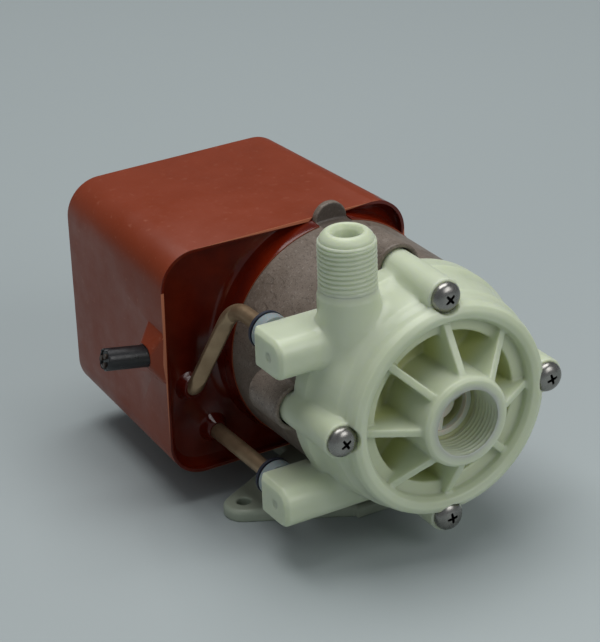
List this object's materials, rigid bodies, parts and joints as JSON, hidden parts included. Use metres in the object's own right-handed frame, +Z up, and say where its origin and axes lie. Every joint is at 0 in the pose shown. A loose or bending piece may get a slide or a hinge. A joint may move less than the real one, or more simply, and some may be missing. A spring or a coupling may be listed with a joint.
{
  "type": "magnetic drive pump",
  "caption": "Small magnetic drive centrifugal pump with a ribbed threaded inlet, threaded outlet, cooling tubes and a red potted motor on a four ear base.",
  "frame": {"origin": "centre of the front pair of base bolt holes, on the underside of the base", "axes": "+Y back along the pump axis from the inlet to the motor, +X to the right seen from the inlet, +Z up along the outlet"},
  "size_m": [0.1517, 0.1868, 0.1307],
  "materials": {
    "pale_polypropylene": "natural moulded polypropylene, slightly translucent, satin",
    "black_rubber": "matt black rubber",
    "stainless_steel": "polished stainless steel",
    "white_ceramic": "ground ceramic",
    "magnet_ferrite": "sintered ferrite, dark grey",
    "carbon": "carbon graphite",
    "cast_aluminium": "die cast",
    "electrical_steel": "stacked laminations",
    "brown_moulded_phenolic": "brown grey speckled moulding compound",
    "bronze": "sintered bronze",
    "copper": "bare or enamelled copper",
    "white_nylon": "bluish white plastic",
    "red_epoxy": "brick red cast epoxy, satin outside and glossy in the front well",
    "tan_copper_nickel": "satin tan brown metal tube",
    "black_cable": "glossy black jacket",
    "grey_green_plastic": "grey green moulded plastic"
  },
  "bodies": {
    "pump": {"front_housing": "pale_polypropylene", "rear_housing": "pale_polypropylene", "housing_o_ring": "black_rubber", "housing_screws": "stainless_steel", "spindle_support": "pale_polypropylene", "spindle": "white_ceramic", "front_thrust_washer": "white_ceramic", "rear_thrust_washer": "white_ceramic", "motor_bracket": "brown_moulded_phenolic", "front_bearing": "bronze", "rear_bearing": "bronze", "rear_bearing_bracket": "cast_aluminium", "stator_core": "electrical_steel", "shading_rings": "copper", "coil_bobbin": "white_nylon", "motor_winding": "copper", "motor_bolts": "stainless_steel", "motor_housing": "red_epoxy", "cooling_tube": "tan_copper_nickel", "upper_tube_sleeve": "white_nylon", "lower_tube_sleeve": "white_nylon", "upper_tube_seal": "black_rubber", "lower_tube_seal": "black_rubber", "power_cable": "black_cable", "cable_cores": "copper", "base": "grey_green_plastic", "base_screws": "stainless_steel"},
    "rotor": {"motor_shaft": "stainless_steel", "rotor_core": "electrical_steel", "drive_hub": "cast_aluminium", "drive_magnet": "magnet_ferrite", "hub_set_screw": "stainless_steel"},
    "impeller": {"impeller": "pale_polypropylene", "impeller_magnet": "magnet_ferrite", "impeller_bushing": "carbon"}
  },
  "joints": [
    {"name": "rotor_spin", "type": "hinge", "parent": "pump", "child": "rotor", "pos_m": [0, 0.0565, 0.06], "axis": [0, 1, 0], "continuous": true},
    {"name": "impeller_spin", "type": "hinge", "parent": "pump", "child": "impeller", "pos_m": [0, -0.0215, 0.06], "axis": [0, 1, 0], "continuous": true}
  ],
  "couplings": [
    {"joint": "impeller_spin", "follows": "rotor_spin", "ratio": 1}
  ]
}
